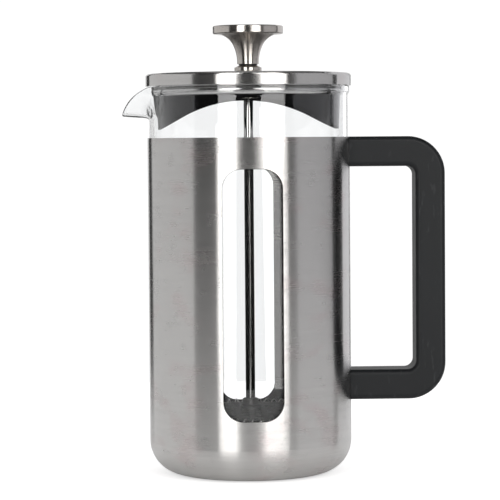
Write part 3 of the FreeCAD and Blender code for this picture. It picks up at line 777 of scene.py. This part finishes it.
class CAFETIERE_OT_handle_screws(bpy.types.Operator):
    """Turns one pan-head screw with a cross recess, and fits it at both ends of the handle."""

    bl_idname = "cafetiere.handle_screws"
    bl_label = "Handle screws"

    def execute(self, context):
        low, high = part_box("handle_screw_upper")
        centre = (low + high) / 2
        head_radius = high.y
        leave_edit()
        bpy.ops.mesh.primitive_cylinder_add(
            vertices=64, radius=head_radius, depth=SCREW_HEAD_HEIGHT, rotation=(0, math.pi / 2, 0),
            location=(low.x + SCREW_HEAD_HEIGHT / 2, centre.y, centre.z),
        )
        screw = context.object
        screw.name = "handle_screw_upper_fine"
        bpy.ops.object.transform_apply(location=True, rotation=True, scale=True)
        bpy.ops.object.mode_set(mode="EDIT")
        bpy.ops.mesh.select_mode(type="FACE")
        pick(screw, "faces", lambda face: face.normal.x > 0.9)
        bpy.ops.mesh.inset(thickness=head_radius - SCREW_SHANK_RADIUS)
        bpy.ops.mesh.extrude_region_move(
            TRANSFORM_OT_translate={"value": (high.x - low.x - SCREW_HEAD_HEIGHT, 0, 0)}
        )
        bpy.ops.mesh.select_mode(type="EDGE")
        head_face = low.x + 0.01 * MM
        pick(screw, "edges", lambda edge: all(corner.co.x < head_face for corner in edge.verts))
        bpy.ops.mesh.bevel(offset=SCREW_HEAD_ROUND, segments=5, affect="EDGES")
        bpy.ops.object.mode_set(mode="OBJECT")
        for turn in (0, math.pi / 2):
            bpy.ops.mesh.primitive_cube_add(
                size=1, location=(low.x, centre.y, centre.z), rotation=(math.pi / 4 + turn, 0, 0),
                scale=(RECESS_DEPTH, RECESS_WIDTH, RECESS_LENGTH),
            )
            cutter = context.object
            add_modifier(screw, "BOOLEAN", operation="DIFFERENCE", object=cutter, solver="EXACT")
            bpy.data.objects.remove(cutter)
        twin_mesh = screw.data.copy()
        twin = bpy.data.objects.new("handle_screw_lower_fine", twin_mesh)
        context.collection.objects.link(twin)
        twin_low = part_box("handle_screw_lower")[0]
        twin_mesh.transform(Matrix.Translation((0, 0, twin_low.z - low.z)))
        finished(screw, "fixing_steel", "shell", "handle_screw_upper")
        finished(twin, "fixing_steel", "shell", "handle_screw_lower")
        return {"FINISHED"}


def soft_light(name, turn, distance, height, size, power, colour=(1, 1, 1), lean=0.0):
    """An area light aimed at the object.

    The turn is in degrees from the camera's side, positive to the right. The lean, in degrees,
    swings the light's foot to the right."""
    leave_edit()
    angle = math.radians(turn)
    place = Vector((distance * math.sin(angle), -distance * math.cos(angle), height))
    aim = (Vector((0, 0, 0.12)) - place).to_track_quat("-Z", "Y")
    aim = aim @ Quaternion((0, 0, 1), math.radians(lean))
    bpy.ops.object.light_add(type="AREA", location=place, rotation=aim.to_euler())
    light = bpy.context.object
    light.name = name
    light.data.shape = "RECTANGLE"
    light.data.size, light.data.size_y = size
    light.data.energy = power
    light.data.color = colour
    light.visible_camera = False
    return light


def hang_lights(studio):
    """Two strips in front, panels at the sides, one overhead and one behind."""
    warm = (1, 0.99, 0.975)
    cool = (0.97, 0.97, 1)
    # turn in degrees, then distance, height and size in metres
    soft_light("strip_left", -24.6, 1.5, 0.45, (0.56, 1.6), studio.strip_power, warm, lean=-10)
    soft_light("strip_right", 24.2, 1.5, 0.45, (0.74, 1.6), studio.right_strip_power, warm, lean=14)
    soft_light("panel_left", -105.9, 1.4, 0.4, (2.4, 1.4), studio.left_power)
    soft_light("panel_right", 77, 1.4, 0.4, (1.46, 1.4), studio.right_power, cool, lean=12)
    soft_light("panel_far_right", 135, 1.4, 0.4, (1.12, 1.4), studio.far_right_power, cool)
    soft_light("panel_top", 0, 0.02, 1.75, (1.5, 1.5), studio.top_power)
    back = soft_light("panel_back", 180, 1.6, 0.5, (1.2, 1.4), studio.back_power)
    back.visible_transmission = False


def light_room(scene, studio):
    """A world that is white to the camera and through clear glass, and dim in reflections.

    Rays turned back inside one glass wall meet the white only at the rear."""
    world = bpy.data.worlds.new("studio")
    world.use_nodes = True
    scene.world = world
    sky = Wiring(world.node_tree)
    background = sky.tree.nodes["Background"]
    background.inputs["Color"].default_value = (1, 1, 1, 1)
    heading = sky.node("TexCoord", output="Generated")
    rear = sky.node("SeparateXYZ", None, {0: heading}, "Y").step(0.6, 0.95)
    eye = sky.to_the_eye(rear)
    seen = 1.05
    sky.feed(background.inputs["Strength"], studio.room + eye * (seen - studio.room))


def lay_floor(studio):
    """A pale paper floor, with a painted shadow under the object, and dimmer in reflections."""
    bpy.ops.mesh.primitive_circle_add(
        vertices=96, radius=0.45, location=(0, 0, -0.0002), fill_type="NGON"
    )
    floor = bpy.context.object
    floor.name = "floor"
    paper = Finish("floor_paper", Emission_Strength=1.0)
    fibre = paper.cloud(3 * MM, 3.0)
    # painted shadow: the floor glows less within this radius of the object, to the eye and in reflections
    outside = paper.vector("LENGTH", paper.place, output="Value").step(28 * MM, 85 * MM)
    colour = paper.blend(fibre, (0.8, 0.8, 0.8), (0.84, 0.84, 0.84))
    paper.wire(Base_Color=colour, Roughness=0.85 + fibre * 0.1)
    eye = paper.to_the_eye(0.0)
    mirrored = (0.1 + outside * 0.9) * studio.floor_glow
    seen = 0.55 + outside * 0.3
    paper.wire(Emission_Color=mirrored + eye * (seen - mirrored))
    floor.data.materials.append(paper.material)


def aim_camera(scene, studio):
    """The camera in front, tilted down a little, rolled, and turned about the object."""
    ahead = Vector((0, math.cos(CAMERA_TILT), -math.sin(CAMERA_TILT)))
    side = Vector((1, 0, 0))
    above = side.cross(ahead)
    rolled_side = math.cos(CAMERA_ROLL) * side + math.sin(CAMERA_ROLL) * above
    rolled_above = -math.sin(CAMERA_ROLL) * side + math.cos(CAMERA_ROLL) * above
    aim = Matrix((rolled_side, rolled_above, -ahead)).transposed().to_4x4()
    aim.translation = CAMERA_PLACE
    bpy.ops.object.camera_add()
    camera = bpy.context.object
    camera.name = "camera"
    camera.data.sensor_width = 36.0
    camera.data.lens = studio.focal_length
    camera.matrix_world = Matrix.Rotation(-CAMERA_TURN, 4, "Z") @ aim
    scene.camera = camera


class CAFETIERE_OT_stage(bpy.types.Operator):
    """Sets the pale floor, the soft lights and the camera."""

    bl_idname = "cafetiere.stage"
    bl_label = "Stage"

    def execute(self, context):
        studio = context.scene.cafetiere_studio
        hang_lights(studio)
        light_room(context.scene, studio)
        lay_floor(studio)
        aim_camera(context.scene, studio)
        context.scene.view_settings.view_transform = "Standard"
        return {"FINISHED"}


class CAFETIERE_PT_pieces(bpy.types.Panel):
    """Lists the sizes, the colours and the pieces."""

    bl_idname = "CAFETIERE_PT_pieces"
    bl_label = "Cafetiere"
    bl_space_type = "VIEW_3D"
    bl_region_type = "UI"
    bl_category = "Cafetiere"

    def draw(self, context):
        for name in GROUPS:
            box = self.layout.box()
            group = getattr(context.scene, name)
            for prop in group.bl_rna.properties:
                if prop.identifier not in ("rna_type", "name"):
                    box.prop(group, prop.identifier)
        for operator in OPERATORS:
            self.layout.operator(operator.bl_idname)


GROUPS = {
    "cafetiere_beaker": BeakerSizes,
    "cafetiere_spring": SpringSizes,
    "cafetiere_colours": FinishColours,
    "cafetiere_studio": StudioSettings,
}
OPERATORS = (
    CAFETIERE_OT_finishes,
    CAFETIERE_OT_beaker,
    CAFETIERE_OT_edge_spring,
    CAFETIERE_OT_screen,
    CAFETIERE_OT_handle_screws,
    CAFETIERE_OT_stage,
)


def register():
    for kind in (*GROUPS.values(), *OPERATORS, CAFETIERE_PT_pieces):
        bpy.utils.register_class(kind)
    for name, group in GROUPS.items():
        setattr(bpy.types.Scene, name, PointerProperty(type=group))


def unregister():
    for name in GROUPS:
        delattr(bpy.types.Scene, name)
    for kind in reversed((*GROUPS.values(), *OPERATORS, CAFETIERE_PT_pieces)):
        bpy.utils.unregister_class(kind)


def main():
    register()
    bpy.ops.cafetiere.finishes()
    bpy.ops.cafetiere.beaker()
    bpy.ops.cafetiere.edge_spring()
    bpy.ops.cafetiere.screen()
    bpy.ops.cafetiere.handle_screws()
    bpy.ops.cafetiere.stage()


if __name__ == "__main__":
    main()
